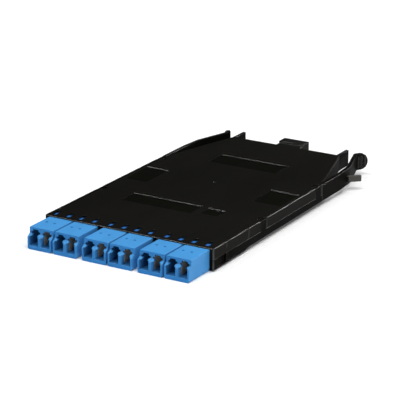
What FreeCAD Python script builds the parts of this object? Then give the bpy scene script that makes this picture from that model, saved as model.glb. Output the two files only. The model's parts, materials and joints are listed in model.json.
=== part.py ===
import FreeCAD, Part

import math
import os
import re

import Sketcher

# Fibre cassette: a flat moulded tray with a snap-on cover, six duplex LC adapters
# across the front, one multi-fibre (MPO) adapter at the back and a sprung lever on
# each side.  +X runs along the adapter row, +Y to the back and +Z up.  The pieces
# are drawn from the front edge of the housing (Y = 0) and the underside of the
# adapters (Z = 0); every piece is then set back so that the origin is the centre
# of the base of the whole cassette.

Vector = FreeCAD.Vector

sizeTable = [
    # duplex LC adapter
    ("adapter_width", 12.9),
    ("adapter_height", 10.4),
    ("adapter_length", 28.2),
    ("adapter_reach", 17.7),      # how far it stands out of the housing
    ("adapter_round", 1.1),       # long corners of the underside
    ("adapter_top_round", 0.5),
    ("face_setback", 2.0),        # upper half of the face behind the lower half
    ("face_step", 6.1),           # height of the lower half
    ("face_ramp", 1.3),
    ("narrow_gap", 1.0),          # between the adapters of one pair
    ("wide_gap", 2.95),           # between two pairs
    ("port_pitch", 6.25),
    ("port_width", 4.8),
    ("port_floor", 1.9),
    ("port_height", 4.5),
    ("ledge_height", 0.8),
    ("ledge_reach", 0.75),
    ("wing_height", 1.1),
    ("latch_width", 3.0),
    ("latch_height", 1.0),
    ("face_frame", 3.0),          # thickness of the blue frame round the ports
    ("sill_groove", 1.4),         # groove under the adapter that takes the tray's sill
    ("groove_depth", 1.3),
    ("groove_place", 6.2),
    # sleeve holder, sleeve and plug inside an adapter
    ("fit_gap", 0.05),
    ("web_depth", 3.8),
    ("holder_wall", 1.3),
    ("tube_dia", 3.0),
    ("tube_reach", 3.7),
    ("sleeve_dia", 1.6),
    ("sleeve_length", 6.8),
    ("ferrule_dia", 1.25),
    ("plug_side", 4.5),
    ("plug_length", 14.5),
    ("plug_hollow", 3.5),
    ("hollow_depth", 4.4),
    ("collar_dia", 4.2),
    ("collar_length", 3.6),
    ("boot_length", 11.5),
    ("boot_front", 3.6),
    ("boot_back", 2.2),
    ("fibre_dia", 0.9),
    # housing
    ("side_web", 2.25),           # housing wall outside the last adapter
    ("cover_top", 11.0),
    ("plate", 1.4),
    ("lip_plate", 0.5),           # thin front of the cover over the adapters
    ("lip_depth", 11.2),
    ("skirt_wall", 1.5),
    ("skirt_height", 5.3),
    ("skirt_length", 105.4),
    ("body_length", 152.5),
    ("seat_gap", 0.1),
    ("tray_wall", 2.8),
    ("front_base", 0.7),          # height of the tray's underside, front to back
    ("step_base", 1.1),
    ("middle_base", 2.0),
    ("rear_base", 2.5),
    ("step_place", 28.6),
    ("step_run", 4.3),
    ("rear_place", 2.4),          # the floor is level from here, before the skirt's end
    ("floor", 1.0),
    ("well_floor", 1.8),          # inner floor under the plugs
    ("bulkhead", 10.8),           # where the floor starts, behind the adapters
    ("sill_top", 1.25),
    ("sill_depth", 1.2),
    ("taper_start", 3.6),         # behind the skirt's end
    ("taper_wall", 1.6),
    ("rear_half", 31.0),          # half the width of the back edge
    ("fold_place", 24.5),         # before the back edge
    ("rear_drop", 0.15),
    ("fin_length", 10.5),
    ("fin_wall", 1.6),
    # windows, recesses and notches of the cover
    ("window_pitch", 7.42),
    ("window_width", 2.4),
    ("window_front", 2.6),
    ("window_length", 5.6),
    ("window_shift", -1.13),
    ("window_spread", 1.02),      # the pairs stand a little wider than the adapters
    ("recess_depth", 0.45),
    ("wide_recess_x", -7.7),
    ("wide_recess_y", 36.5),
    ("wide_recess_width", 38.2),
    ("wide_recess_length", 11.8),
    ("small_recess_x", 19.85),
    ("small_recess_y", 39.0),
    ("small_recess_width", 9.5),
    ("small_recess_length", 8.6),
    ("right_recess_x", 35.3),
    ("right_recess_y", 67.0),
    ("right_recess_width", 15.4),
    ("right_recess_length", 19.0),
    ("left_recess_x", -36.7),
    ("left_recess_y", 65.0),
    ("left_recess_width", 12.6),
    ("left_recess_length", 21.5),
    ("back_recess_x", -1.85),
    ("back_recess_y", 109.2),
    ("back_recess_width", 38.3),
    ("back_recess_length", 13.8),
    ("slit_width", 0.4),
    ("slit_in", 0.8),
    ("front_slit", 11.4),
    ("front_slit_depth", 2.6),
    ("second_slit", 31.9),
    ("second_slit_depth", 4.7),
    ("cover_round", 0.35),
    ("corner_round", 0.7),        # upright front corners of the housing
    ("tab_length", 5.0),
    ("tab_slot", 0.4),
    ("tab_wall", 1.2),
    ("tab_front", 43.9),
    ("tab_rear", 6.4),            # before the skirt's end
    ("tab_nose", 0.6),
    ("thumb_radius", 2.4),
    # catch tooth low on each side
    ("catch_front", 2.0),
    ("catch_face", 10.8),
    ("catch_tip", 1.6),
    ("catch_end", 23.0),
    ("catch_depth", 1.1),
    ("catch_proud", 0.4),
    ("catch_low", 1.5),
    ("catch_high", 6.2),
    # side lever
    ("lever_wall", 2.0),
    ("lever_gap", 0.3),
    ("lever_bend", 20.6),         # first bend behind the skirt's end
    ("lever_middle", 12.0),       # second bend behind the first
    ("middle_lean", 1.0),         # how far the second bend stands in
    ("lever_lean", 7.2),          # how far the knee stands in
    ("lever_knee", 5.7),          # behind the back edge
    ("flare_out", 3.7),
    ("flare_back", 5.0),
    ("knee_round", 2.0),
    ("knuckle_radius", 1.3),
    ("knuckle_play", 0.06),
    ("knuckle_back", 2.4),        # knuckle axis behind the seam
    ("knuckle_in", 3.5),          # knuckle axis inside the side face
    ("neck_width", 1.6),
    ("grip_radius", 0.5),
    ("grip_start", 0.8),          # first rib behind the knee
    ("grip_pitch", 1.9),
    ("grip_height", 6.2),
    ("tab_low", 4.2),
    ("tab_high", 7.2),
    ("tab_root", 6.9),            # behind the first bend
    ("root_depth", 1.2),
    ("tab_out", 6.4),
    ("tab_back", 5.7),
    ("tab_thick", 1.9),
    ("tip_round", 0.9),
    ("root_round", 2.0),
    # multi-fibre adapter at the back
    ("mpo_half", 6.9),
    ("mpo_low", 1.2),
    ("mpo_high", 10.0),
    ("mpo_front", 13.5),          # before the back edge
    ("mpo_step", 6.0),            # the rim starts this far behind the back edge
    ("mpo_rim", 6.3),
    ("rim_out", 0.3),
    ("mpo_bore_width", 12.5),
    ("mpo_bore_height", 7.6),
    ("mpo_web", 1.6),
    ("mpo_ear", 1.6),
    ("ear_depth", 1.6),
    ("key_width", 2.8),
    ("ferrule_width", 6.4),
    ("ferrule_height", 2.5),
    ("crimp_width", 8.0),
    ("crimp_height", 3.5),
    ("crimp_length", 9.0),
    # fan-out of the twelve fibres
    ("block_front", 31.0),        # before the MPO adapter
    ("block_length", 12.0),
    ("block_height", 2.6),
    ("lane_pitch", 1.3),
    ("ribbon_width", 3.2),
    ("ribbon_height", 0.9),
]
size = dict(sizeTable)

# Lengths that follow from the sizes above, as expressions for the document.
rowHalf = "(3*adapter_width+1.5*narrow_gap+wide_gap)"
halfWidth = "(%s+side_web)" % rowHalf
skirtInner = "(%s-skirt_wall-seat_gap)" % halfWidth
trayInner = "(%s-tray_wall)" % halfWidth
skirtFoot = "(cover_top-skirt_height)"
plateUnder = "(cover_top-plate)"
trayTop = "(cover_top-plate-seat_gap)"
portOuter = "(port_pitch/2+port_width/2)"
ledgeLow = "(port_floor+port_height)"
ledgeHigh = "(%s+ledge_height)" % ledgeLow
wingHigh = "(%s+wing_height)" % ledgeHigh
cavityTop = "(%s+latch_height)" % wingHigh
adapterMid = "(adapter_length/2-adapter_reach)"
adapterBack = "(adapter_length-adapter_reach)"
portAxis = "(port_floor+port_height/2)"
plugFront = "(%s+web_depth/2+seat_gap)" % adapterMid
plugBack = "(%s+plug_length)" % plugFront
collarBack = "(%s+collar_length)" % plugBack
bootBack = "(%s+boot_length)" % collarBack
stepEnd = "(step_place+step_run)"
rearFloor = "(rear_base+floor)"
rearPlace = "(skirt_length-rear_place)"
tabRear = "(skirt_length-tab_rear)"
taperStart = "(skirt_length+taper_start)"
taperX = "(%s-lever_wall-lever_gap)" % halfWidth
foldPlace = "(body_length-fold_place)"
rearTop = "(cover_top-rear_drop)"
knuckleX = "(%s-knuckle_in)" % halfWidth
knuckleY = "(skirt_length+knuckle_back)"
leverInner = "(%s-lever_wall)" % halfWidth
leverBend = "(skirt_length+lever_bend)"
leverMiddle = "(%s+lever_middle)" % leverBend
leverKnee = "(body_length+lever_knee)"
middleX = "(%s-middle_lean)" % halfWidth
kneeX = "(%s-lever_lean)" % halfWidth
flareLength = "sqrt(flare_out^2+flare_back^2)"
tipX = "(%s+flare_out)" % kneeX
tipY = "(%s+flare_back)" % leverKnee
backX = "(%s-lever_wall*flare_back/%s)" % (tipX, flareLength)
leverEnd = "(%s+lever_wall*flare_out/%s)" % (tipY, flareLength)
headMiddle = "(rear_base/2+cover_top/2)"
tabLength = "sqrt(tab_out^2+tab_back^2)"
mpoMid = "(mpo_low/2+mpo_high/2)"
mpoFront = "(body_length-mpo_front)"
rimStart = "(body_length+mpo_step)"
rimEnd = "(%s+mpo_rim)" % rimStart
mpoWebStart = "(body_length-3)"
blockFront = "(%s-block_front)" % mpoFront
blockBack = "(%s+block_length)" % blockFront
blockMid = "(%s+seat_gap+block_height/2)" % rearFloor
crimpFront = "(%s-crimp_length)" % mpoFront
setback = "((adapter_reach-%s)/2)" % rimEnd

document = FreeCAD.newDocument("fibre_cassette")
sheet = document.addObject("Spreadsheet::Sheet", "Sizes")
for row, (alias, value) in enumerate(sizeTable, start=1):
    sheet.set("A%d" % row, alias)
    sheet.set("B%d" % row, str(value))
    sheet.setAlias("B%d" % row, alias)
document.recompute()

pieces = []


def bound(text):
    """An expression with every size name read from the sheet."""
    return re.sub(r"[a-z][a-z_]+",
                  lambda word: "Sizes." + word.group() if word.group() in size
                  else word.group(), str(text))


def startBody(name):
    body = document.addObject("PartDesign::Body", name)
    body.Label = name
    pieces.append(body)
    return body


def originPlane(body, role):
    return [item for item in body.Origin.OriginFeatures if item.Role == role][0]


def startSketch(body, plane, level, name):
    """A sketch on an origin plane of the body, moved along +X, +Y or +Z to a level."""
    sketch = body.newObject("Sketcher::SketchObject", name)
    sketch.AttachmentSupport = [(originPlane(body, plane + "_Plane"), "")]
    sketch.MapMode = "FlatFace"
    sign = "-" if plane == "XZ" else ""
    sketch.setExpression("AttachmentOffset.Base.z", sign + "(" + bound(level) + ")")
    return sketch


def hold(sketch, item, point, x, y, start):
    """Fix one sketch point at expressions measured from the sketch's origin."""
    for kind, text, value in (("DistanceX", x, start.x), ("DistanceY", y, start.y)):
        index = sketch.addConstraint(
            Sketcher.Constraint(kind, -1, 1, item, point, value))
        sketch.setExpression("Constraints[%d]" % index, bound(text))


def polygon(sketch, corners):
    """A closed outline through corners given as pairs of expressions."""
    first, count = sketch.GeometryCount, len(corners)
    ring = [Vector(9 * math.cos(2 * math.pi * k / count + 0.3),
                   9 * math.sin(2 * math.pi * k / count + 0.3), 0)
            for k in range(count)]
    for k in range(count):
        sketch.addGeometry(Part.LineSegment(ring[k], ring[(k + 1) % count]), False)
    for k in range(count):
        sketch.addConstraint(Sketcher.Constraint(
            "Coincident", first + k, 2, first + (k + 1) % count, 1))
    for k, (x, y) in enumerate(corners):
        hold(sketch, first + k, 1, x, y, ring[k])


def rectangle(sketch, x0, x1, y0, y1):
    polygon(sketch, [(x0, y0), (x1, y0), (x1, y1), (x0, y1)])


def ring(sketch, x, y, radius, sides):
    """A regular outline with the given number of sides, for a round hidden piece."""
    turns = [2 * math.pi * (k + 0.5) / sides for k in range(sides)]
    polygon(sketch, [("%s+(%s)*(%.6f)" % (x, radius, math.cos(turn)),
                      "%s+(%s)*(%.6f)" % (y, radius, math.sin(turn)))
                     for turn in turns])


def circle(sketch, x, y, radius):
    item = sketch.addGeometry(
        Part.Circle(Vector(1, 2, 0), Vector(0, 0, 1), 3), False)
    hold(sketch, item, 3, x, y, Vector(1, 2, 0))
    index = sketch.addConstraint(Sketcher.Constraint("Radius", item, 3.0))
    sketch.setExpression("Constraints[%d]" % index, bound(radius))


def extrude(body, kind, plane, low, high, name, draw):
    """Pad or pocket between two levels along the axis square to the plane."""
    adding = kind == "Pad"
    fromLow = adding != (plane == "XZ")
    sketch = startSketch(body, plane, low if fromLow else high, name + "_outline")
    draw(sketch)
    feature = body.newObject("PartDesign::" + kind, name)
    feature.Profile = sketch
    feature.setExpression("Length", bound("(%s)-(%s)" % (high, low)))
    before = body.Shape.Volume if len(body.Group) > 2 else 0.0
    document.recompute()
    change = body.Shape.Volume - before
    if change * (1 if adding else -1) <= 0:
        raise RuntimeError("%s of %s changed nothing" % (name, body.Label))
    return feature


def pad(body, plane, low, high, name, draw):
    return extrude(body, "Pad", plane, low, high, name, draw)


def pocket(body, plane, low, high, name, draw):
    return extrude(body, "Pocket", plane, low, high, name, draw)


def roundEdges(body, radius, name, wanted):
    """Fillet the edges whose middle point and direction the test accepts."""
    last = body.Tip
    names = ["Edge%d" % (k + 1) for k, edge in enumerate(last.Shape.Edges)
             if edge.Curve.TypeId == "Part::GeomLine"
             and wanted(edge.CenterOfMass, edge.Curve.Direction)]
    fillet = body.newObject("PartDesign::Fillet", name)
    fillet.Base = (last, names)
    fillet.setExpression("Radius", bound(radius))
    document.recompute()
    return fillet


def read(text):
    """The value of an expression, worked out by the document."""
    probe = document.addObject("App::FeaturePython", "probe")
    probe.addProperty("App::PropertyFloat", "Result")
    probe.setExpression("Result", bound(text))
    document.recompute()
    value = probe.Result
    document.removeObject(probe.Name)
    return value


def place(piece, x="0", y="0"):
    piece.setExpression("Placement.Base.x", bound(x))
    piece.setExpression("Placement.Base.y", bound("%s+%s" % (setback, y)))


def mirrored(corners, side):
    """The outline of one side of the cassette: side is 1 or -1."""
    return [("%d*(%s)" % (side, x), y) for x, y in corners]


# ---------------------------------------------------------------- LC adapters

def adapterCentre(number):
    """Centre of adapter 1 to 6: pairs stand close, the pairs further apart."""
    step = abs(number - 3.5)
    side = 1 if number > 3.5 else -1
    near = "(adapter_width/2+narrow_gap/2)"
    reach = {0.5: near,
             1.5: "(%s+adapter_width+wide_gap)" % near,
             2.5: "(%s+2*adapter_width+wide_gap+narrow_gap)" % near}[step]
    return "%d*%s" % (side, reach)


def portOutline(centre):
    """LC opening: plug chamber, two ledges, wings and the slot for the latch."""
    half, neck, slot = "port_width/2", "(port_width/2-ledge_reach)", "latch_width/2"
    right = [(half, "port_floor"), (half, ledgeLow), (neck, ledgeLow),
             (neck, ledgeHigh), (half, ledgeHigh), (half, wingHigh),
             (slot, wingHigh), (slot, cavityTop)]
    left = [("-%s" % x, z) for x, z in reversed(right)]
    return [("%s+%s" % (centre, x), z) for x, z in right + left]


def makeAdapter(number):
    body = startBody("lc_adapter_%d" % number)
    pad(body, "XZ", "-adapter_reach", adapterBack, "block",
        lambda s: rectangle(s, "-adapter_width/2", "adapter_width/2",
                            "0", "adapter_height"))
    middle = read("adapter_height/2")
    roundEdges(body, "adapter_round", "lower_corners",
               lambda point, way: abs(way.y) > 0.99 and point.z < middle)
    roundEdges(body, "adapter_top_round", "upper_corners",
               lambda point, way: abs(way.y) > 0.99 and point.z > middle
               and abs(point.x) > 0.1)
    pocket(body, "YZ", "-adapter_width", "adapter_width", "face_slope",
           lambda s: polygon(s, [
               ("-adapter_reach-1", "face_step"), ("-adapter_reach", "face_step"),
               ("face_setback-adapter_reach", "face_step+face_ramp"),
               ("face_setback-adapter_reach", "adapter_height+1"),
               ("-adapter_reach-1", "adapter_height+1")]))
    pocket(body, "XZ", "face_frame-adapter_reach", "%s+1" % adapterBack, "cavity",
           lambda s: rectangle(s, "-" + portOuter, portOuter,
                               "port_floor", cavityTop))

    def drawPorts(sketch):
        polygon(sketch, portOutline("-port_pitch/2"))
        polygon(sketch, portOutline("port_pitch/2"))
    pocket(body, "XZ", "-adapter_reach-1", "face_frame-adapter_reach+1",
           "ports", drawPorts)
    pocket(body, "XY", "-1", "groove_depth", "sill_groove",
           lambda s: rectangle(s, "-adapter_width", "adapter_width",
                               "groove_place", "groove_place+sill_groove"))
    place(body, adapterCentre(number))


def makeHolder(number):
    """Inner sleeve holder: a web across the adapter, a wall and two tubes."""
    body = startBody("sleeve_holder_%d" % number)
    side = "(%s-fit_gap)" % portOuter
    low, high = "(port_floor+fit_gap)", "(%s-fit_gap)" % cavityTop
    front, back = "(%s-web_depth/2)" % adapterMid, "(%s+web_depth/2)" % adapterMid
    pad(body, "XZ", front, back, "web",
        lambda s: rectangle(s, "-" + side, side, low, high))
    pad(body, "XZ", "face_frame-adapter_reach+fit_gap", adapterBack, "middle_wall",
        lambda s: rectangle(s, "-holder_wall/2", "holder_wall/2", low, high))

    def drawRounds(radius):
        def draw(sketch):
            ring(sketch, "-port_pitch/2", portAxis, radius, 12)
            ring(sketch, "port_pitch/2", portAxis, radius, 12)
        return draw
    pad(body, "XZ", "%s-tube_reach" % front, "%s+tube_reach" % back,
        "tubes", drawRounds("tube_dia/2"))
    pocket(body, "XZ", "%s-tube_reach-1" % front, "%s+tube_reach+1" % back,
           "bores", drawRounds("sleeve_dia/2+fit_gap"))
    place(body, adapterCentre(number))


def portCentre(number):
    """Axis of port 1 to 12 along X."""
    adapter = (number + 1) // 2
    side = "-" if number % 2 else "+"
    return "%s%sport_pitch/2" % (adapterCentre(adapter), side)


def onPort(item, y, number):
    """Turn a piece that stands on Z to lie along Y on the axis of one port."""
    item.Placement = FreeCAD.Placement(Vector(), FreeCAD.Rotation(Vector(1, 0, 0), -90))
    item.setExpression("Placement.Base.x", bound(portCentre(number)))
    item.setExpression("Placement.Base.y", bound(y))
    item.setExpression("Placement.Base.z", bound(portAxis))
    return item


def rod(name, y, radius, length, number):
    """A twelve-sided rod along one port."""
    item = document.addObject("Part::Prism", "%s_%d" % (name, number))
    item.Polygon = 12
    item.setExpression("Circumradius", bound(radius))
    item.setExpression("Height", bound(length))
    return onPort(item, y, number)


def cutAway(body, tool, name):
    item = document.addObject("Part::Cut", name)
    item.Base, item.Tool = body, tool
    return item


def group(name, members):
    item = document.addObject("Part::Compound", name)
    item.Label = name
    item.Links = members
    pieces.append(item)
    place(item)


def makeSleeves():
    start = "%s-sleeve_length/2" % adapterMid
    group("alignment_sleeves", [
        cutAway(rod("sleeve_skin", start, "sleeve_dia/2", "sleeve_length", k),
                rod("sleeve_bore", start, "ferrule_dia/2", "sleeve_length", k),
                "sleeve_%d" % k) for k in range(1, 13)])


def makeFerrules():
    length = "(%s-%s+hollow_depth)" % (plugFront, adapterMid)
    group("plug_ferrules", [rod("ferrule", adapterMid, "ferrule_dia/2", length, k)
                            for k in range(1, 13)])


def boot(number):
    """Tapered strain relief behind a plug: eight sides, front and back outline."""
    ends = []
    for name, y, radius in (("boot_root", collarBack, "boot_front/2"),
                            ("boot_tip", bootBack, "boot_back/2")):
        end = document.addObject("Part::RegularPolygon", "%s_%d" % (name, number))
        end.Polygon = 8
        end.setExpression("Circumradius", bound(radius))
        ends.append(onPort(end, y, number))
    loft = document.addObject("Part::Loft", "boot_%d" % number)
    loft.Sections, loft.Solid, loft.Ruled = ends, True, True
    return loft


def makeBoots():
    group("plug_boots", [boot(k) for k in range(1, 13)])


def makePlug(number):
    """Inner LC plug: square nose, round collar and a sprung latch on top."""
    body = startBody("lc_plug_%d" % number)
    half = "plug_side/2"
    top = "(%s+plug_side/2)" % portAxis
    pad(body, "XZ", plugFront, plugBack, "nose",
        lambda s: rectangle(s, "-" + half, half, "%s-plug_side/2" % portAxis, top))
    pocket(body, "XZ", "%s-1" % plugFront, "%s+hollow_depth" % plugFront, "hollow",
           lambda s: rectangle(s, "-plug_hollow/2", "plug_hollow/2",
                               "%s-plug_hollow/2" % portAxis,
                               "%s+plug_hollow/2" % portAxis))
    pad(body, "XZ", plugBack, collarBack, "collar",
        lambda s: ring(s, "0", portAxis, "collar_dia/2", 12))
    pad(body, "YZ", "-latch_width/3", "latch_width/3", "latch",
        lambda s: polygon(s, [
            (plugFront, "%s-0.4" % top), (plugFront, "%s+0.3" % top),
            ("%s-1.5" % plugBack, "%s+1.9" % top), ("%s-1.5" % plugBack, "%s+1.2" % top),
            ("%s+2.5" % plugFront, "%s-0.4" % top)]))
    place(body, portCentre(number))


# -------------------------------------------------------------------- housing

def taperOutline(inset, front, back):
    """Plan of the narrowing back half between two lines square to Y."""
    slope = "((%s-rear_half)/(body_length-%s))" % (taperX, taperStart)
    near = "(%s-%s-%s*(%s-%s))" % (taperX, inset, slope, front, taperStart)
    far = "(%s-%s-%s*(%s-%s))" % (taperX, inset, slope, back, taperStart)
    return [("-" + near, front), (near, front), (far, back), ("-" + far, back)]


def cornerOutline(side):
    """What is cut off behind the skirt on one side: the lever's place."""
    out = "%s+5" % halfWidth
    return mirrored([(out, "skirt_length"), (taperX, "skirt_length"),
                     (taperX, taperStart), ("rear_half", "body_length"),
                     ("rear_half", "body_length+20"), (out, "body_length+20")], side)


def bothSides(draw):
    """Draw the same outline on the right and on the left."""
    def drawPair(sketch):
        draw(sketch, 1)
        draw(sketch, -1)
    return drawPair


def makeTray():
    body = startBody("base_tray")
    pad(body, "YZ", "-" + halfWidth, halfWidth, "side_profile",
        lambda s: polygon(s, [
            ("0", "front_base"), ("step_place", "step_base"),
            (stepEnd, "middle_base"), (rearPlace, "rear_base"),
            ("body_length", "rear_base"), ("body_length", "%s-rear_drop" % trayTop),
            (foldPlace, trayTop), ("0", trayTop)]))
    pocket(body, "XY", "-5", "30", "back_corners", bothSides(
        lambda s, side: polygon(s, cornerOutline(side))))
    edge = read(halfWidth) - 0.01
    roundEdges(body, "corner_round", "front_corners",
               lambda point, way: abs(way.z) > 0.99 and point.y < 0.01
               and abs(point.x) > edge)
    pocket(body, "YZ", "-" + trayInner, trayInner, "well",
           lambda s: polygon(s, [
               ("bulkhead", "well_floor"), ("step_place-1.5", "well_floor"),
               (stepEnd, "middle_base+floor"), (rearPlace, rearFloor),
               ("skirt_length-2", rearFloor), ("skirt_length-2", "30"),
               ("bulkhead", "30")]))
    pocket(body, "XY", rearFloor, "30", "rear_well",
           lambda s: polygon(s, taperOutline(
               "taper_wall", "(skirt_length+6)", "(body_length-taper_wall)")))
    pocket(body, "XY", rearFloor, "30", "middle_well",
           lambda s: rectangle(s, "-(%s-3)" % knuckleX, "%s-3" % knuckleX,
                               "skirt_length-3", "skirt_length+7"))
    pocket(body, "XY", skirtFoot, "30", "skirt_rebate", bothSides(
        lambda s, side: polygon(s, mirrored([
            (skirtInner, "-1"), ("%s+1" % halfWidth, "-1"),
            ("%s+1" % halfWidth, "skirt_length+seat_gap"),
            (skirtInner, "skirt_length+seat_gap")], side))))

    def drawBays(sketch):
        for number in range(1, 7):
            centre = adapterCentre(number)
            rectangle(sketch, "%s-adapter_width/2-seat_gap" % centre,
                      "%s+adapter_width/2+seat_gap" % centre, "-1", "bulkhead+0.5")
    pocket(body, "XY", "sill_top", "30", "adapter_bays", drawBays)

    def drawGaps(sketch):
        for number in range(1, 7):
            centre = adapterCentre(number)
            for front, back in (("-1", "groove_place+seat_gap"),
                                ("groove_place+seat_gap+sill_depth", "bulkhead")):
                rectangle(sketch, "%s-adapter_width/2-seat_gap" % centre,
                          "%s+adapter_width/2+seat_gap" % centre, front, back)
    pocket(body, "XY", "-1", "sill_top+1", "sill_gaps", drawGaps)
    pocket(body, "XY", "catch_low", "catch_high", "catch_recess", bothSides(
        lambda s, side: polygon(s, mirrored([
            ("%s+2" % halfWidth, "catch_front-2"), (halfWidth, "catch_front"),
            ("%s-catch_depth" % halfWidth, "catch_face"),
            (halfWidth, "catch_face+0.1"), (halfWidth, "catch_face+catch_tip"),
            ("%s-catch_depth/2" % halfWidth, "catch_face+catch_tip+1"),
            (halfWidth, "catch_end"), ("%s+2" % halfWidth, "catch_end+2")], side))))
    pad(body, "XY", "catch_low", "catch_high-seat_gap-0.5", "catch_tip", bothSides(
        lambda s, side: polygon(s, mirrored([
            ("%s-catch_depth" % halfWidth, "catch_face"),
            ("%s+catch_proud" % halfWidth, "catch_face"),
            ("%s+catch_proud" % halfWidth, "catch_face+catch_tip"),
            ("%s-catch_depth" % halfWidth, "catch_face+catch_tip+0.8")], side))))
    for name, front in (("front_tabs", "tab_front"), ("rear_tabs", tabRear)):
        pad(body, "XY", "%s-0.8" % skirtFoot, "cover_top-0.2", name, bothSides(
            lambda s, side: polygon(s, mirrored([
                ("%s-tab_wall" % halfWidth, front), (halfWidth, front),
                (halfWidth, "%s+tab_length" % front),
                ("%s-tab_wall" % halfWidth, "%s+tab_length" % front)], side))))
        pad(body, "XY", "cover_top-0.2-tab_nose", "cover_top-0.2", name + "_nose",
            bothSides(lambda s, side: polygon(s, mirrored([
                ("%s-tab_wall-1" % halfWidth, "%s+1.4" % front),
                ("%s-tab_wall/2" % halfWidth, "%s+1" % front),
                ("%s-tab_wall/2" % halfWidth, "%s+tab_length-1" % front),
                ("%s-tab_wall-1" % halfWidth, "%s+tab_length-1.4" % front)], side))))
    pad(body, "XY", "rear_base", "%s-rear_drop" % trayTop, "fins", bothSides(
        lambda s, side: polygon(s, mirrored([
            ("rear_half-fin_wall", "body_length-taper_wall"),
            ("rear_half", "body_length-taper_wall"),
            ("rear_half", "body_length+fin_length"),
            ("rear_half-fin_wall", "body_length+fin_length")], side))))
    pad(body, "XY", trayTop + "-rear_drop-1", rearTop, "fin_caps", bothSides(
        lambda s, side: polygon(s, mirrored([
            ("rear_half-fin_wall", "body_length+seat_gap"),
            ("rear_half", "body_length+seat_gap"),
            ("rear_half", "body_length+fin_length"),
            ("rear_half-fin_wall", "body_length+fin_length")], side))))
    pocket(body, "XY", rearFloor, "30", "knuckle_sockets", bothSides(
        lambda s, side: circle(s, "%d*%s" % (side, knuckleX), knuckleY,
                               "knuckle_radius+knuckle_play")))
    pocket(body, "XY", rearFloor, "30", "neck_slots", bothSides(
        lambda s, side: polygon(s, mirrored([
            (knuckleX, "%s-neck_width/2-0.25" % knuckleY),
            ("%s+1" % halfWidth, "%s-neck_width/2-0.25" % knuckleY),
            ("%s+1" % halfWidth, "%s+neck_width/2+0.25" % knuckleY),
            (knuckleX, "%s+neck_width/2+0.25" % knuckleY)], side))))
    cheek = "(mpo_half+seat_gap)"
    pad(body, "XY", "%s-0.3" % rearFloor, "%s-rear_drop" % trayTop, "cheeks", bothSides(
        lambda s, side: polygon(s, mirrored([
            (cheek, mpoFront + "+1"), ("%s+1.6" % cheek, mpoFront + "+1"),
            ("%s+1.6" % cheek, "body_length-taper_wall-ear_depth-2*seat_gap"),
            (cheek, "body_length-taper_wall-ear_depth-2*seat_gap")], side))))
    pocket(body, "XY", "-5", "30", "mpo_opening",
           lambda s: rectangle(s, "-" + cheek, cheek, mpoFront + "-seat_gap",
                               "body_length+5"))
    place(body)


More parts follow.
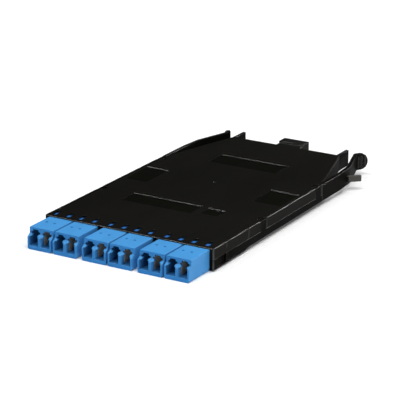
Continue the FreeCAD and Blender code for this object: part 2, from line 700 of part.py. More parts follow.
def makeCover():
    body = startBody("top_cover")
    pad(body, "YZ", "-" + halfWidth, halfWidth, "plate",
        lambda s: polygon(s, [
            ("0", plateUnder), (foldPlace, plateUnder),
            ("body_length", "%s-rear_drop" % plateUnder),
            ("body_length", rearTop), (foldPlace, "cover_top"),
            ("0", "cover_top")]))
    pocket(body, "XY", "-5", "30", "back_corners", bothSides(
        lambda s, side: polygon(s, cornerOutline(side))))
    pad(body, "XY", skirtFoot, "cover_top-0.1", "skirts", bothSides(
        lambda s, side: polygon(s, mirrored([
            ("%s-skirt_wall" % halfWidth, "0"), (halfWidth, "0"),
            (halfWidth, "skirt_length"),
            ("%s-skirt_wall" % halfWidth, "skirt_length")], side))))
    edge, skirtEnd = read(halfWidth) - 0.01, size["skirt_length"]
    roundEdges(body, "corner_round", "front_corners",
               lambda point, way: abs(way.z) > 0.99 and point.y < 0.01
               and abs(point.x) > edge)
    roundEdges(body, "cover_round", "long_edges",
               lambda point, way: abs(way.y) > 0.99 and abs(point.x) > edge
               and point.z > size["cover_top"] - 0.2 and point.y < skirtEnd)
    pocket(body, "XY", skirtFoot + "-1", "cover_top-lip_plate", "front_relief",
           lambda s: rectangle(s, "-(%s+0.2)" % rowHalf, "%s+0.2" % rowHalf,
                               "-1", "lip_depth"))
    pocket(body, "XY", skirtFoot, "mpo_high+seat_gap", "mpo_relief",
           lambda s: rectangle(s, "-mpo_half-0.2", "mpo_half+0.2",
                               mpoFront + "-0.3", "body_length+1"))

    def drawWindows(sketch):
        half, rear = "window_width/2", "window_front+window_length"
        for number in range(1, 13):
            centre = "(window_spread*(%s)+window_shift%swindow_pitch/2)" % (
                adapterCentre((number + 1) // 2), "-" if number % 2 else "+")
            polygon(sketch, [
                ("%s-%s" % (centre, half), "window_front"),
                ("%s+%s" % (centre, half), "window_front"),
                ("%s+%s" % (centre, half), "%s-%s" % (rear, half)),
                ("%s+%s*0.7" % (centre, half), "%s-%s*0.3" % (rear, half)),
                (centre, rear),
                ("%s-%s*0.7" % (centre, half), "%s-%s*0.3" % (rear, half)),
                ("%s-%s" % (centre, half), "%s-%s" % (rear, half))])
    pocket(body, "XY", "cover_top-2", "cover_top+1", "windows", drawWindows)

    def drawRecesses(sketch):
        for name in ("wide", "small", "right", "left", "back"):
            rectangle(sketch, name + "_recess_x-%s_recess_width/2" % name,
                      name + "_recess_x+%s_recess_width/2" % name,
                      name + "_recess_y", name + "_recess_y+%s_recess_length" % name)
    pocket(body, "XY", "cover_top-recess_depth", "cover_top+1", "recesses",
           drawRecesses)
    for name, front in (("front_tab_notch", "tab_front"), ("rear_tab_notch", tabRear)):
        pocket(body, "XY", "0", "30", name, bothSides(
            lambda s, side: polygon(s, mirrored([
                ("%s-tab_wall-seat_gap" % halfWidth, "%s-tab_slot" % front),
                ("%s+1" % halfWidth, "%s-tab_slot" % front),
                ("%s+1" % halfWidth, "%s+tab_length+tab_slot" % front),
                ("%s-tab_wall-seat_gap" % halfWidth,
                 "%s+tab_length+tab_slot" % front)], side))))
        pocket(body, "XY", "cover_top-0.2-tab_nose-seat_gap", "30", name + "_moon",
               bothSides(lambda s, side: circle(
                   s, "%d*(%s-tab_wall)" % (side, halfWidth),
                   "%s+tab_length*0.6" % front, "thumb_radius")))
    for name in ("front_slit", "second_slit"):
        pocket(body, "XY", "cover_top-%s_depth" % name, "30", name + "s", bothSides(
            lambda s, side: polygon(s, mirrored([
                ("%s-slit_in" % halfWidth, name), ("%s+1" % halfWidth, name),
                ("%s+1" % halfWidth, name + "+slit_width"),
                ("%s-slit_in" % halfWidth, name + "+slit_width")], side))))
    place(body)


# --------------------------------------------------------------- side levers

def leverOutline(side):
    """Plan of a lever: straight, two bends inwards, then a flare to the tip."""
    seam = "(skirt_length+lever_gap)"
    outer = [(halfWidth, seam), (halfWidth, leverBend), (middleX, leverMiddle),
             (kneeX, leverKnee), (tipX, tipY)]
    inner = [(backX, leverEnd), ("%s-1.1*lever_wall" % kneeX,
                                 "%s+0.19*lever_wall" % leverKnee),
             ("%s-lever_wall" % middleX, "%s-0.1*lever_wall" % leverMiddle),
             (leverInner, leverBend), (leverInner, seam)]
    return mirrored(outer + inner, side)


def alongFlare(distance, side):
    """A point on the outer face of the flare, this far behind the knee."""
    x = "(%s+flare_out*(%s)/%s)" % (kneeX, distance, flareLength)
    y = "(%s+flare_back*(%s)/%s)" % (leverKnee, distance, flareLength)
    return "%d*%s" % (side, x), y


def makeLever(name, side):
    body = startBody(name)
    pad(body, "XY", "rear_base", "cover_top", "arm",
        lambda s: polygon(s, leverOutline(side)))
    tip, knee = read(tipY), read(leverKnee)
    roundEdges(body, "(cover_top-rear_base)/2-0.05", "head",
               lambda point, way: abs(way.z) < 0.01 and point.y > tip)
    roundEdges(body, "knee_round", "knee", lambda point, way: abs(way.z) > 0.99
               and abs(point.y - knee) < 1)

    def drawGrips(sketch):
        for k in range(3):
            x, y = alongFlare("grip_start+%d*grip_pitch" % k, side)
            ring(sketch, x, y, "grip_radius", 12)
    pad(body, "XY", "%s-grip_height/2" % headMiddle, "%s+grip_height/2" % headMiddle,
        "grips", drawGrips)
    rootX, rootY = "(%s-root_depth)" % halfWidth, "(%s+tab_root)" % leverBend
    acrossX = "tab_thick*tab_back/%s" % tabLength
    acrossY = "tab_thick*tab_out/%s" % tabLength
    pad(body, "XY", "tab_low", "tab_high", "finger_tab",
        lambda s: polygon(s, mirrored([
            (rootX, rootY), ("%s+tab_out" % rootX, "%s+tab_back" % rootY),
            ("%s+tab_out-%s" % (rootX, acrossX), "%s+tab_back+%s" % (rootY, acrossY)),
            ("%s-%s" % (rootX, acrossX), "%s+%s" % (rootY, acrossY))], side)))
    outside = read(halfWidth)
    roundEdges(body, "tip_round", "tab_tip", lambda point, way: abs(way.z) > 0.99
               and abs(point.x) > outside + 2)
    root, tabMiddle = read(rootY), read("tab_low/2+tab_high/2")
    roundEdges(body, "root_round", "tab_root_edges",
               lambda point, way: abs(way.z) > 0.99
               and root < point.y < root + size["tab_thick"]
               and outside - 2 < abs(point.x) < outside
               and abs(point.z - tabMiddle) < 0.5)
    pad(body, "XY", "%s+seat_gap" % rearFloor, "%s-0.15" % trayTop, "knuckle",
        lambda s: circle(s, "%d*%s" % (side, knuckleX), knuckleY, "knuckle_radius"))
    pad(body, "XY", "%s+seat_gap" % rearFloor, "%s-0.15" % trayTop, "neck",
        lambda s: polygon(s, mirrored([
            (knuckleX, "%s-neck_width/2" % knuckleY),
            ("%s+0.3" % leverInner, "%s-neck_width/2" % knuckleY),
            ("%s+0.3" % leverInner, "%s+neck_width/2" % knuckleY),
            (knuckleX, "%s+neck_width/2" % knuckleY)], side)))
    place(body)


# ---------------------------------------------- multi-fibre adapter and plug

def makeMpoAdapter():
    body = startBody("mpo_adapter")
    pad(body, "XZ", mpoFront, rimStart, "barrel",
        lambda s: rectangle(s, "-mpo_half", "mpo_half", "mpo_low", "mpo_high"))
    pad(body, "XZ", rimStart, rimEnd, "rim",
        lambda s: rectangle(s, "-mpo_half-rim_out", "mpo_half+rim_out",
                            "mpo_low-rim_out", "mpo_high+rim_out*3"))
    pad(body, "XZ", "body_length-taper_wall-ear_depth-seat_gap",
        "body_length-taper_wall-seat_gap", "ears",
        lambda s: rectangle(s, "-mpo_half-mpo_ear", "mpo_half+mpo_ear",
                            "%s+seat_gap" % rearFloor, "%s-rear_drop-seat_gap" % trayTop))
    half, low, high = "mpo_bore_width/2", "%s-mpo_bore_height/2", "%s+mpo_bore_height/2"
    low, high = low % mpoMid, high % mpoMid
    pocket(body, "XZ", "%s+mpo_web" % mpoWebStart, "%s+1" % rimEnd, "outer_port",
           lambda s: rectangle(s, "-" + half, half, low, high))
    pocket(body, "XZ", mpoFront + "-1", mpoWebStart, "inner_port",
           lambda s: rectangle(s, "-" + half, half, low, high))
    pocket(body, "XZ", "%s-1" % mpoWebStart, "%s+mpo_web+1" % mpoWebStart, "window",
           lambda s: rectangle(s, "-ferrule_width/2-0.1", "ferrule_width/2+0.1",
                               "%s-ferrule_height/2-0.1" % mpoMid,
                               "%s+ferrule_height/2+0.1" % mpoMid))
    pocket(body, "XZ", "%s-3" % rimEnd, "%s+1" % rimEnd, "keyway",
           lambda s: rectangle(s, "-key_width/2", "key_width/2",
                               high + "-1", high + "+0.6"))
    place(body)


def makeMpoPlug():
    body = startBody("mpo_plug")
    crimp = "crimp_height/2"
    pad(body, "XZ", mpoFront + "+1", "%s-seat_gap" % mpoWebStart, "shell",
        lambda s: rectangle(s, "-mpo_bore_width/2+seat_gap", "mpo_bore_width/2-seat_gap",
                            "%s-mpo_bore_height/2+seat_gap" % mpoMid,
                            "%s+mpo_bore_height/2-seat_gap" % mpoMid))
    pad(body, "XZ", crimpFront, mpoFront + "+1.5", "crimp",
        lambda s: rectangle(s, "-crimp_width/2", "crimp_width/2",
                            "%s-%s" % (mpoMid, crimp), "%s+%s" % (mpoMid, crimp)))
    pocket(body, "XZ", "%s-4" % mpoWebStart, "%s+1" % mpoWebStart, "ferrule_seat",
           lambda s: rectangle(s, "-ferrule_width/2", "ferrule_width/2",
                               "%s-ferrule_height/2" % mpoMid,
                               "%s+ferrule_height/2" % mpoMid))
    place(body)


def box(name, x0, x1, y0, y1, z0, z1):
    item = document.addObject("Part::Box", name)
    item.Label = name
    for key, low, high in (("Length", x0, x1), ("Width", y0, y1), ("Height", z0, z1)):
        item.setExpression(key, bound("(%s)-(%s)" % (high, low)))
    item.setExpression("Placement.Base.x", bound(x0))
    item.setExpression("Placement.Base.y", bound("%s+%s" % (setback, y0)))
    item.setExpression("Placement.Base.z", bound(z0))
    pieces.append(item)


def makeFanOut():
    box("mpo_ferrule", "-ferrule_width/2", "ferrule_width/2",
        "%s-4" % mpoWebStart, "%s+mpo_web+2" % mpoWebStart,
        "%s-ferrule_height/2" % mpoMid, "%s+ferrule_height/2" % mpoMid)
    box("fanout_block", "-6.4*lane_pitch", "6.4*lane_pitch", blockFront, blockBack,
        "%s-block_height/2" % blockMid, "%s+block_height/2" % blockMid)
    box("fibre_ribbon", "-ribbon_width/2", "ribbon_width/2", blockBack, crimpFront,
        "%s-ribbon_height/2" % blockMid, "%s+ribbon_height/2" % blockMid)


def makeFibres():
    """Twelve fibres from the boots to the fan-out block, gathered side by side."""
    start, finish = read(bootBack), read(blockFront)
    low, high, radius = read(portAxis), read(blockMid), size["fibre_dia"] / 2
    tubes = []
    for number in range(1, 13):
        near = read(portCentre(number))
        far = (number - 6.5) * size["lane_pitch"]
        points = [Vector(near + (far - near) * share, start + (finish - start) * along,
                         low + (high - low) * share)
                  for along, share in ((0, 0), (0.15, 0), (0.35, 0.22), (0.53, 0.56),
                                       (0.72, 0.90), (0.88, 1.0), (1.0, 1.0))]
        section = [points[0] + Vector(radius * math.cos(math.pi * k / 3), 0,
                                      radius * math.sin(math.pi * k / 3))
                   for k in range(7)]
        tubes.append(Part.makePolygon(points).makePipeShell(
            [Part.makePolygon(section)], True, False, 1))
    item = document.addObject("Part::Feature", "fanout_fibres")
    item.Label = "fanout_fibres"
    item.Shape = Part.makeCompound(tubes)
    pieces.append(item)
    place(item)


makeTray()
makeCover()
for number in range(1, 7):
    makeAdapter(number)
    makeHolder(number)
for number in range(1, 13):
    makePlug(number)
makeSleeves()
makeFerrules()
makeBoots()
makeLever("side_lever_right", 1)
makeLever("side_lever_left", -1)
makeMpoAdapter()
makeMpoPlug()
makeFanOut()
makeFibres()
document.recompute()

for item in document.Objects:
    if "Invalid" in item.State or "Error" in item.State:
        raise RuntimeError("%s failed" % item.Label)
os.makedirs("parts", exist_ok=True)
for piece in pieces:
    shape = piece.Shape
    if shape.isNull() or not shape.isValid():
        raise RuntimeError("%s has no valid shape" % piece.Label)
    shape.exportStep("parts/%s.step" % piece.Label)
    bounds = shape.BoundBox
    print("%-20s %2d solid  %9.2f mm3  X %6.1f %6.1f  Y %6.1f %6.1f  Z %5.1f %5.1f"
          % (piece.Label, len(shape.Solids), shape.Volume, bounds.XMin, bounds.XMax,
             bounds.YMin, bounds.YMax, bounds.ZMin, bounds.ZMax))
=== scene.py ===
import bpy
import bmesh
import json
import math
from mathutils import Matrix, Vector


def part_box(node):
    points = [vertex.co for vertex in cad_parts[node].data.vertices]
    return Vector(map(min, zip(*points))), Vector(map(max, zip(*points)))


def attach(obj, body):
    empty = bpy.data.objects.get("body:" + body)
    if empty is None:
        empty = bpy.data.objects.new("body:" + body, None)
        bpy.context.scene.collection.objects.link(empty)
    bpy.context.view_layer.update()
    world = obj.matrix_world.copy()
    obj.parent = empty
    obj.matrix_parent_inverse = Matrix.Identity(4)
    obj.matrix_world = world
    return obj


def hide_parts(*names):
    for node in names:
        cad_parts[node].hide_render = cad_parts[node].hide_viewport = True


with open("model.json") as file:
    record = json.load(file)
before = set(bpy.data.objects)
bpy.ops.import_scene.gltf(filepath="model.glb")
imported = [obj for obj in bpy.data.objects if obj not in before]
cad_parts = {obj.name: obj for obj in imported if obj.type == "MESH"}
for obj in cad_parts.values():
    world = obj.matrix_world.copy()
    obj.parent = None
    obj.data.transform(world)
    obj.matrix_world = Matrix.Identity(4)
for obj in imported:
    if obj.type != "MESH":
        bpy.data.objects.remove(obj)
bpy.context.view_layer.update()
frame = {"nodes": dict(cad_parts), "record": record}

mm = 0.001
nodes = frame["nodes"]
coverLow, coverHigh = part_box("top_cover")
slotOf = {part["node"]: part["material_slot"] for part in frame["record"]["subparts"]}
print("frame loaded:", len(nodes), "parts")


class Value:
    # one output of a node; sums and products on it add Math nodes
    def __init__(self, paint, socket):
        self.paint, self.socket = paint, socket

    def maths(self, operation, *inputs):
        return self.paint.node("ShaderNodeMath", {"operation": operation}, inputs)

    def __add__(self, other):
        return self.maths("ADD", self, other)

    def __radd__(self, other):
        return self.maths("ADD", other, self)

    def __sub__(self, other):
        return self.maths("SUBTRACT", self, other)

    def __rsub__(self, other):
        return self.maths("SUBTRACT", other, self)

    def __mul__(self, other):
        return self.maths("MULTIPLY", self, other)

    def __rmul__(self, other):
        return self.maths("MULTIPLY", other, self)

    def __truediv__(self, other):
        return self.maths("DIVIDE", self, other)

    def __rtruediv__(self, other):
        return self.maths("DIVIDE", other, self)


class Paint:
    # one material and its nodes
    def __init__(self, name):
        self.material = bpy.data.materials.new(name)
        self.material.use_nodes = True
        self.tree = self.material.node_tree
        self.tree.nodes.clear()

    def node(self, kind, settings=None, inputs=(), output=0):
        made = self.tree.nodes.new(kind)
        for key, value in (settings or {}).items():
            if key == "stops":
                self.fillRamp(made.color_ramp, value)
            else:
                setattr(made, key, value)
        pairs = inputs.items() if isinstance(inputs, dict) else enumerate(inputs)
        for key, value in pairs:
            if isinstance(value, Value):
                self.tree.links.new(value.socket, made.inputs[key])
            else:
                made.inputs[key].default_value = value
        return Value(self, made.outputs[output]) if made.outputs else made

    def fillRamp(self, ramp, stops):
        while len(ramp.elements) < len(stops):
            ramp.elements.new(0.5)
        for element, (place, shade) in zip(ramp.elements, stops):
            element.position = place
            element.color = (shade, shade, shade, 1)

    def place(self, scale=(1, 1, 1)):
        coords = self.node("ShaderNodeTexCoord", output="Object")
        return self.node("ShaderNodeMapping", inputs={"Vector": coords, "Scale": scale})

    def noise(self, where, scale, detail=2.0, roughness=0.5):
        return self.node("ShaderNodeTexNoise", inputs={
            "Vector": where, "Scale": scale, "Detail": detail, "Roughness": roughness})

    def ramp(self, factor, *stops):
        return self.node("ShaderNodeValToRGB", {"stops": stops}, {"Fac": factor})

    def mix(self, factor, first, second):
        return self.node("ShaderNodeMix", {"data_type": "RGBA"},
                         {"Factor": factor, 6: first, 7: second}, output=2)

    def finish(self, **inputs):
        shader = self.node("ShaderNodeBsdfPrincipled", None,
                           {key.replace("_", " "): value for key, value in inputs.items()})
        self.node("ShaderNodeOutputMaterial", None, {"Surface": shader})
        return self.material


def rgba(colour, factor=1.0):
    return tuple(min(1.0, part * factor) for part in colour) + (1.0,)


# what all the plastics share: (detail, roughness) of each noise, and how far each one reaches
skin = {"flowNoise": (4.0, 0.6), "grainNoise": (3.0, 0.7), "dustNoise": (1.0, 0.4),
        "waveNoise": (2.0, 0.5), "waveScale": 0.2, "waveDepth": 2,
        "dustFrom": 0.70, "dustTo": 0.76, "toneFrom": 0.30, "toneTo": 0.75,
        "middle": 0.5, "grainReach": 0.18, "flowReach": 0.10}


# spark-eroded plastic: fine grain, faint flow clouds along the fill, scattered dust specks
def mouldedPlastic(name, spec):
    paint = Paint(name)
    where = paint.place()
    flow = paint.noise(paint.place(spec["flow"]), spec["cloudScale"], *skin["flowNoise"])
    grain = paint.noise(where, spec["grainScale"], *skin["grainNoise"])
    specks = paint.noise(where, spec["dustScale"], *skin["dustNoise"])
    dust = paint.ramp(specks, (skin["dustFrom"], 0.0), (skin["dustTo"], 1.0))
    tone = paint.ramp(flow, (skin["toneFrom"], 0.0), (skin["toneTo"], 1.0))
    colour = paint.mix(tone, rgba(spec["colour"]), rgba(spec["colour"], spec["lift"]))
    colour = paint.mix(dust * spec["dust"], colour, rgba(spec["dustColour"]))
    rough = (spec["roughness"] + (grain - skin["middle"]) * skin["grainReach"]
             + (flow - skin["middle"]) * skin["flowReach"])
    fine = paint.node("ShaderNodeBump", None, {
        "Strength": spec["grain"], "Distance": spec["grainDepth"], "Height": grain})
    coarse = paint.noise(where, spec["grainScale"] * skin["waveScale"], *skin["waveNoise"])
    bump = paint.node("ShaderNodeBump", None, {
        "Strength": spec["wave"], "Distance": spec["grainDepth"] * skin["waveDepth"],
        "Height": coarse, "Normal": fine})
    return paint.finish(Base_Color=colour, Roughness=rough, Normal=bump,
                        Specular_IOR_Level=spec["gloss"])


blackSpec = {
    "colour": (0.0052, 0.0050, 0.0043), "lift": 1.5, "flow": (1.0, 0.35, 1.0),
    "roughness": 0.42, "gloss": 0.015,
    "cloudScale": 30.0, "grainScale": 5200.0, "grain": 0.25, "grainDepth": 0.00004,
    "wave": 0.05, "dustScale": 2600.0, "dust": 0.25, "dustColour": (0.05, 0.05, 0.045)}
blueSpec = {
    "colour": (0.056, 0.255, 0.56), "lift": 1.12, "flow": (1.0, 0.5, 1.0),
    "roughness": 0.36, "gloss": 0.06,
    "cloudScale": 120.0, "grainScale": 4200.0, "grain": 0.15, "grainDepth": 0.00003,
    "wave": 0.15, "dustScale": 2600.0, "dust": 0.1, "dustColour": (0.5, 0.6, 0.7)}


def variant(spec, **changes):
    return {**spec, **changes}


finishes = {
    "cover_black": mouldedPlastic("coverPlastic", blackSpec),
    "tray_black": mouldedPlastic("trayPlastic", variant(
        blackSpec, colour=(0.0034, 0.0033, 0.0029), gloss=0.006, roughness=0.38)),
    "lever_black": mouldedPlastic("leverPlastic", variant(
        blackSpec, colour=(0.0036, 0.0035, 0.0031), gloss=0.006)),
    "mpo_black": mouldedPlastic("mpoPlastic", variant(
        blackSpec, colour=(0.0062, 0.0062, 0.0057), gloss=0.015)),
    "adapter_blue": mouldedPlastic("adapterPlastic", blueSpec),
    # the holder's colour is lifted far above its real dark grey: painted light inside the deep
    # port, where little light reaches
    "holder_grey": mouldedPlastic("holderPaintedLightPlastic", variant(
        blackSpec, colour=(0.54, 0.47, 0.35), lift=1.2, roughness=0.5, gloss=0.3)),
    "plug_shell": mouldedPlastic("plugPlastic", variant(blueSpec, colour=(0.05, 0.2, 0.5))),
    "boot_white": mouldedPlastic("bootRubber", variant(
        blueSpec, colour=(0.7, 0.7, 0.68), roughness=0.6)),
    "ceramic_white": mouldedPlastic("zirconia", variant(
        blueSpec, colour=(0.8, 0.8, 0.77), roughness=0.15, grain=0.02)),
    "mpo_ferrule": mouldedPlastic("ferrulePlastic", variant(
        blackSpec, colour=(0.03, 0.03, 0.03), roughness=0.3)),
    "fanout_black": mouldedPlastic("fanoutPlastic", variant(blackSpec, roughness=0.55)),
    "fibre_jacket": mouldedPlastic("fibreJacket", variant(
        blueSpec, colour=(0.65, 0.5, 0.06), roughness=0.4))}
extra = {
    "blackEdge": mouldedPlastic("blackEdgePlastic", variant(
        blackSpec, roughness=0.24, gloss=0.5, grain=0.08)),
    "softEdge": mouldedPlastic("softEdgePlastic", variant(
        blackSpec, roughness=0.3, gloss=0.12, grain=0.08)),
    "blueEdge": mouldedPlastic("blueEdgePlastic", variant(
        blueSpec, roughness=0.28, gloss=0.22, grain=0.05)),
    # painted shade: the adapters' front faces in a darker blue than the tops
    "face": mouldedPlastic("faceShadePlastic", variant(blueSpec, colour=(0.034, 0.205, 0.515))),
    # painted shade: darker blue inside the ports
    "port": mouldedPlastic("portPlastic", variant(blueSpec, colour=(0.030, 0.135, 0.33))),
    # painted shade: darker blue on the adapter tops under the cover's lip
    "underShade": mouldedPlastic("underShadePlastic", variant(
        blueSpec, colour=(0.024, 0.120, 0.37), gloss=0.02)),
    # painted shade: the ejector-mark rings in a dark blue, for the shade in the dents
    "markShade": mouldedPlastic("markShadePlastic", variant(blueSpec, colour=(0.018, 0.11, 0.30))),
    "shade": mouldedPlastic("shadePlastic", variant(
        blueSpec, colour=(0.004, 0.010, 0.022), gloss=0.02)),
    # matte grain, and a darker black as painted shade, for the recess floors and window walls
    "recessShade": mouldedPlastic("recessShadePlastic", variant(
        blackSpec, colour=(0.0030, 0.0030, 0.0023), roughness=0.6, gloss=0.008,
        grainScale=3400.0, grain=0.45)),
    # painted sheen: the grip tab's black lifted to light grey, for the highlight on its
    # textured skin
    "tabSheen": mouldedPlastic("tabSheenPlastic", variant(
        blackSpec, colour=(0.055, 0.053, 0.048), roughness=0.62, gloss=0.3, grain=0.6,
        grainScale=2400.0))}

for node, thing in nodes.items():
    for place in thing.material_slots:
        place.material = finishes[slotOf[node]]
print("finishes made:", len(finishes) + len(extra))


# the object's final mesh, with its modifiers worked in and then taken off
def settled(thing):
    graph = bpy.context.evaluated_depsgraph_get()
    final = bpy.data.meshes.new_from_object(thing.evaluated_get(graph))
    thing.modifiers.clear()
    thing.data = final
    return thing


joining = {"merge": 0.002 * mm, "flatAngle": math.radians(1.0), "edgeAngle": math.radians(28)}


# a copy of a moulding with its flat faces joined up and its edges broken
def softened(node, name, body, spec):
    mesh = nodes[node].data.copy()
    work = bmesh.new()
    work.from_mesh(mesh)
    bmesh.ops.remove_doubles(work, verts=work.verts, dist=joining["merge"])
    bmesh.ops.dissolve_limit(work, angle_limit=joining["flatAngle"], verts=work.verts,
                             edges=work.edges, use_dissolve_boundaries=False)
    for reach in spec.get("shadeLines", ()):      # cuts under the lip where the painted shade on the adapter tops changes
        bmesh.ops.bisect_plane(work, geom=work.verts[:] + work.edges[:] + work.faces[:],
                               plane_co=(0, coverLow[1] + reach, 0), plane_no=(0, 1, 0))
    bmesh.ops.recalc_face_normals(work, faces=work.faces)
    for face in work.faces:
        face.smooth = True
    work.to_mesh(mesh)
    work.free()
    mesh.materials.clear()
    mesh.materials.append(finishes[slotOf[node]])
    mesh.materials.append(extra[spec["edgeFinish"]])
    thing = bpy.data.objects.new(name, mesh)
    bpy.context.scene.collection.objects.link(thing)
    bevel = thing.modifiers.new("edges", "BEVEL")
    bevel.width, bevel.segments = spec["edge"], spec["steps"]
    bevel.limit_method, bevel.angle_limit = "ANGLE", joining["edgeAngle"]
    bevel.use_clamp_overlap = False
    bevel.miter_outer = "MITER_ARC"
    bevel.material = 1      # the second slot, the edge finish
    weigh = thing.modifiers.new("flats", "WEIGHTED_NORMAL")      # large flats stay flat
    weigh.weight, weigh.keep_sharp = 100, False
    settled(thing)
    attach(thing, body)
    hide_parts(node)
    return thing


# gives the faces that pass the test another finish, and counts them
def paintFaces(thing, finish, test):
    thing.data.materials.append(finish)
    index = len(thing.data.materials) - 1
    count = 0
    for face in thing.data.polygons:
        if test(face.center, face.normal):
            face.material_index = index
            count += 1
    return count


# edge is the width of the broken edge; the other lengths mark off where a finish ends
coverSpec = {"edge": 0.18 * mm, "steps": 2, "edgeFinish": "blackEdge",
             "floorTop": 0.3 * mm, "floorEnd": 0.7 * mm, "rimDepth": 0.5 * mm,
             "corner": 1 * mm, "inner": 2 * mm, "windowDepth": 0.6 * mm, "lip": 9.5 * mm}
traySpec = {"edge": 0.12 * mm, "steps": 2, "edgeFinish": "softEdge"}
mpoSpec = {"edge": 0.22 * mm, "steps": 2, "edgeFinish": "blackEdge"}
leverSpec = {"edge": 0.16 * mm, "steps": 2, "edgeFinish": "blackEdge", "tabOut": 0.45 * mm}
adapterSpec = {"edge": 0.15 * mm, "steps": 2, "edgeFinish": "blueEdge", "count": 6,
               "shadeLines": (0.5 * mm, 6.2 * mm), "faceDepth": 2.2 * mm,
               "portHalf": 5.7 * mm, "portFloor": 0.5 * mm, "portRoof": 0.6 * mm,
               "topDepth": 0.1 * mm}
facing = {"flat": 0.9, "slanted": 0.985, "raised": 0.1, "rightward": 0.2, "front": 0.85}
adapterNumbers = range(1, adapterSpec["count"] + 1)


# lowest and highest corner of an adapter, and its middle from side to side
def adapterBox(number):
    low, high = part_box("lc_adapter_%d" % number)
    return low, high, (low[0] + high[0]) / 2


def isFlatTop(point, way, top, depth):
    return way.z > facing["flat"] and point.z > top - depth


def isRim(point, way):
    slanted = max(abs(way.x), abs(way.y), abs(way.z)) < facing["slanted"]
    upper = way.z > facing["raised"] and point.z > coverHigh[2] - coverSpec["rimDepth"]
    corner = (point.y < coverLow[1] + coverSpec["corner"]
              and abs(point.x) > coverHigh[0] - coverSpec["corner"])
    return slanted and (upper or corner)


cover = softened("top_cover", "cover", "housing", coverSpec)
tray = softened("base_tray", "tray", "housing", traySpec)
softened("mpo_adapter", "mpoAdapter", "housing", mpoSpec)
levers = {
    "right": softened("side_lever_right", "leverRight", "lever_right", leverSpec),
    "left": softened("side_lever_left", "leverLeft", "lever_left", leverSpec)}
adapters = {
    number: softened("lc_adapter_%d" % number, "adapter%d" % number, "housing", adapterSpec)
    for number in adapterNumbers}
print("mouldings softened")

# painted shade on the recess floors
recessed = paintFaces(cover, extra["recessShade"], lambda point, way:
                      isFlatTop(point, way, coverHigh[2], coverSpec["floorEnd"])
                      and point.z < coverHigh[2] - coverSpec["floorTop"])
for thing in (cover, tray):      # handling polishes the rounded rims and front corners
    paintFaces(thing, extra["blackEdge"], isRim)
paintFaces(cover, finishes["cover_black"], lambda point, way:      # edges a hand doesn't reach
           way.x > facing["rightward"] and point.x < coverHigh[0] - coverSpec["inner"]
           and point.z > coverHigh[2] - coverSpec["floorEnd"])
paintFaces(cover, extra["recessShade"], lambda point, way:      # painted shade on the rear walls of the windows
           way.y < -facing["flat"]
           and coverSpec["corner"] < point.y - coverLow[1] < coverSpec["lip"]
           and point.z > coverHigh[2] - coverSpec["windowDepth"])
for number, thing in adapters.items():
    low, high, middle = adapterBox(number)
    # painted shade inside each port
    paintFaces(thing, extra["port"], lambda point, way:
               point.y > low[1] + adapterSpec["faceDepth"]
               and abs(point.x - middle) < adapterSpec["portHalf"]
               and point.z > low[2] + adapterSpec["portFloor"]
               and point.z < high[2] - adapterSpec["portRoof"])
    # painted shade on the front faces
    paintFaces(thing, extra["face"], lambda point, way:
               way.y < -facing["front"] and point.y < low[1] + adapterSpec["faceDepth"])
    # painted shade on the adapter tops under the lip: darker from the first cut, near black
    # from the second
    for finish, reach in zip(("underShade", "shade"), adapterSpec["shadeLines"]):
        paintFaces(thing, extra[finish], lambda point, way:
                   isFlatTop(point, way, high[2], adapterSpec["topDepth"])
                   and point.y > coverLow[1] + reach)
tabStart = coverHigh[0] + leverSpec["tabOut"]
# painted sheen on the tabs
for lever in levers.values():
    paintFaces(lever, extra["tabSheen"], lambda point, way: abs(point.x) > tabStart)
print("recess floors painted:", recessed)


# repeats are grown by Geometry Nodes and kept as plain meshes
class Growth:
    def __init__(self, name):
        self.tree = bpy.data.node_groups.new(name, "GeometryNodeTree")
        self.socket("Geometry", "NodeSocketGeometry")
        self.tree.interface.new_socket("Geometry", in_out="OUTPUT",
                                       socket_type="NodeSocketGeometry")
        self.start = self.tree.nodes.new("NodeGroupInput")
        self.values = {}

    def socket(self, name, kind):
        return self.tree.interface.new_socket(name, in_out="INPUT", socket_type=kind)

    def setting(self, name, value, kind="NodeSocketFloat"):
        item = self.socket(name, kind)
        self.values[item.identifier] = value
        return self.start.outputs[name]

    def node(self, kind, inputs=None, settings=None):
        made = self.tree.nodes.new(kind)
        for key, value in (settings or {}).items():
            setattr(made, key, value)
        for key, value in (inputs or {}).items():
            if hasattr(value, "is_linked"):
                self.tree.links.new(value, made.inputs[key])
            else:
                made.inputs[key].default_value = value
        return made

    def close(self, points, shape, scale, finish):
        placed = self.node("GeometryNodeInstanceOnPoints", {
            "Points": points, "Instance": shape, "Scale": scale})
        real = self.node("GeometryNodeRealizeInstances", {"Geometry": placed.outputs[0]})
        painted = self.node("GeometryNodeSetMaterial", {
            "Geometry": real.outputs[0], "Material": finish})
        end = self.tree.nodes.new("NodeGroupOutput")
        self.tree.links.new(painted.outputs[0], end.inputs["Geometry"])

    def grow(self, carrier, name, body):
        thing = bpy.data.objects.new(name, carrier)
        bpy.context.scene.collection.objects.link(thing)
        grown = thing.modifiers.new("growth", "NODES")
        grown.node_group = self.tree
        for identifier, value in self.values.items():
            grown[identifier] = value
        settled(thing)
        for face in thing.data.polygons:
            face.use_smooth = True
        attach(thing, body)
        return thing


# low ring that an ejector pin leaves, half sunk in the face under it
def ringMarks(name, points, body, finish, spec):
    growth = Growth(name + "Tree")
    radius = growth.setting("Radius", spec["radius"])
    thick = growth.setting("Thickness", spec["thick"])
    circle = "GeometryNodeCurvePrimitiveCircle"
    path = growth.node(circle, {"Radius": radius, "Resolution": spec["around"]})
    profile = growth.node(circle, {"Radius": thick, "Resolution": spec["section"]})
    ring = growth.node("GeometryNodeCurveToMesh", {
        "Curve": path.outputs["Curve"], "Profile Curve": profile.outputs["Curve"]})
    growth.close(growth.start.outputs["Geometry"], ring.outputs["Mesh"], (1, 1, 1), finish)
    carrier = bpy.data.meshes.new(name)
    carrier.from_pydata(points, [], [])
    return growth.grow(carrier, name, body)


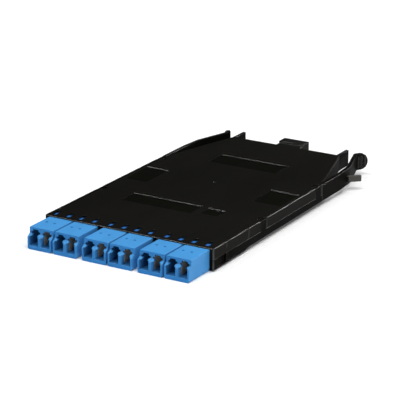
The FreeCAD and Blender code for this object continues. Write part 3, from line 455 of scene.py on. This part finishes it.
# blunt pimples of the gripping texture, scattered over the tab's skin
def tabGrain(name, lever, body, spec):
    growth = Growth(name + "Tree")
    density = growth.setting("Density", spec["density"])
    size = growth.setting("Size", spec["size"])
    seed = growth.setting("Seed", spec["seed"], "NodeSocketInt")
    spread = growth.node("GeometryNodeDistributePointsOnFaces", {
        "Mesh": growth.start.outputs["Geometry"], "Density": density, "Seed": seed})
    blob = growth.node("GeometryNodeMeshIcoSphere", {"Radius": size, "Subdivisions": 2})
    vary = growth.node("FunctionNodeRandomValue",
                       {2: spec["least"], 3: spec["most"], "Seed": seed},
                       {"data_type": "FLOAT"})
    # the pimples take the tab's painted sheen
    growth.close(spread.outputs["Points"], blob.outputs["Mesh"], vary.outputs[1],
                 extra["tabSheen"])
    shell = bmesh.new()
    shell.from_mesh(lever.data)
    away = [face for face in shell.faces
            if abs(face.calc_center_median().x) < tabStart + spec["inset"]
            or face.calc_area() < spec["smallest"]]
    bmesh.ops.delete(shell, geom=away, context="FACES")
    carrier = bpy.data.meshes.new(name)
    shell.to_mesh(carrier)
    shell.free()
    return growth.grow(carrier, name, body)


markSpec = {"radius": 0.5 * mm, "thick": 0.14 * mm, "around": 20, "section": 8,
            "apart": 4.4 * mm, "shift": -0.8 * mm, "behind": 10.9 * mm}
gateSpec = {"radius": 0.7 * mm, "thick": 0.16 * mm, "around": 20, "section": 8,
            "x": -1.4 * mm, "behind": 81.8 * mm}
# density is per square metre; faces under the smallest area, the broken edges, stay bare
grainSpec = {"density": 7.0e6, "size": 0.11 * mm, "seed": 7, "least": 0.6, "most": 1.25,
             "inset": 0.4 * mm, "smallest": 2 * mm * mm}

marks = []
for number in adapterNumbers:
    low, high, middle = adapterBox(number)
    for side in (-0.5, 0.5):
        marks.append((middle + markSpec["shift"] + side * markSpec["apart"],
                      low[1] + markSpec["behind"], high[2]))
# the rings on the adapters carry the painted shade
ringMarks("adapterMarks", marks, "housing", extra["markShade"], markSpec)
ringMarks("gateMark", [(gateSpec["x"], coverLow[1] + gateSpec["behind"], coverHigh[2])],
          "housing", extra["blackEdge"], gateSpec)
for side, lever in levers.items():
    tabGrain("tabGrain_" + side, lever, "lever_" + side, grainSpec)
print("marks and tab grain grown")

studio = {"floorReach": 6.0, "floorTones": (0.95, 0.98), "speckle": 900.0,
          "floorRoughness": 0.9, "floorGloss": 0.1, "world": 0.04}
floorMesh = bpy.data.meshes.new("floor")
floorMesh.from_pydata([(x * studio["floorReach"], y * studio["floorReach"], 0)
                       for x, y in ((-1, -1), (1, -1), (1, 1), (-1, 1))],
                      [], [(0, 1, 2, 3)])
floor = bpy.data.objects.new("floor", floorMesh)
bpy.context.scene.collection.objects.link(floor)
floorPaint = Paint("floorPaper")
speckle = floorPaint.noise(floorPaint.place(), studio["speckle"])
floorTone = floorPaint.mix(speckle, *(rgba((tone,) * 3) for tone in studio["floorTones"]))
floorMesh.materials.append(floorPaint.finish(Base_Color=floorTone,
                                             Roughness=studio["floorRoughness"],
                                             Specular_IOR_Level=studio["floorGloss"]))

world = bpy.data.worlds.new("studioAir")
world.use_nodes = True
air = world.node_tree.nodes["Background"]
air.inputs["Color"].default_value = (1, 1, 1, 1)
air.inputs["Strength"].default_value = studio["world"]
bpy.context.scene.world = world


# every lamp points at the middle of the frame
def lamp(name, kind, place, **settings):
    data = bpy.data.lights.new(name, kind)
    for key, value in settings.items():
        setattr(data, key, value)
    thing = bpy.data.objects.new(name, data)
    thing.location = place
    thing.rotation_mode = "QUATERNION"
    thing.rotation_quaternion = (-Vector(place)).to_track_quat("-Z", "Y")
    bpy.context.scene.collection.objects.link(thing)


lamps = {
    "overhead": {"kind": "SUN", "energy": 2.4, "place": (0.15, -0.1, 1.0),
                 "angle": math.radians(50)},
    "frontEdge": {"kind": "SUN", "energy": 1.0, "place": (-0.48, -0.31, 0.81),
                  "angle": math.radians(9)},
    "sideEdge": {"kind": "SUN", "energy": 0.9, "place": (0.31, 0.82, 0.47),
                 "angle": math.radians(9)},
    "rightFill": {"kind": "AREA", "energy": 2.4, "place": (0.9, -0.25, 0.45), "size": 0.5}}
for name, settings in lamps.items():
    lamp(name, **settings)

# a long lens, looking down on the front and the right side
view = {"target": (0.0, -0.01355, 0.0110), "distance": 0.9839,
        "yaw": 0.533, "pitch": 0.328, "roll": 0.003,
        "lens": 184.9, "sensor": 36.0, "shiftX": 0.0139, "shiftY": -0.0123,
        "near": 0.05, "far": 50.0}
camera = bpy.data.objects.new("camera", bpy.data.cameras.new("camera"))
camera.data.lens, camera.data.sensor_width = view["lens"], view["sensor"]
camera.data.shift_x, camera.data.shift_y = view["shiftX"], view["shiftY"]
camera.data.clip_start, camera.data.clip_end = view["near"], view["far"]
back = Vector((math.sin(view["yaw"]) * math.cos(view["pitch"]),
               -math.cos(view["yaw"]) * math.cos(view["pitch"]), math.sin(view["pitch"])))
camera.location = Vector(view["target"]) + view["distance"] * back
camera.rotation_mode = "QUATERNION"
aim = (-back).to_track_quat("-Z", "Y")
camera.rotation_quaternion = aim @ Matrix.Rotation(view["roll"], 3, "Z").to_quaternion()
bpy.context.scene.collection.objects.link(camera)
bpy.context.scene.camera = camera
bpy.context.scene.view_settings.view_transform = "Standard"
print("studio set")
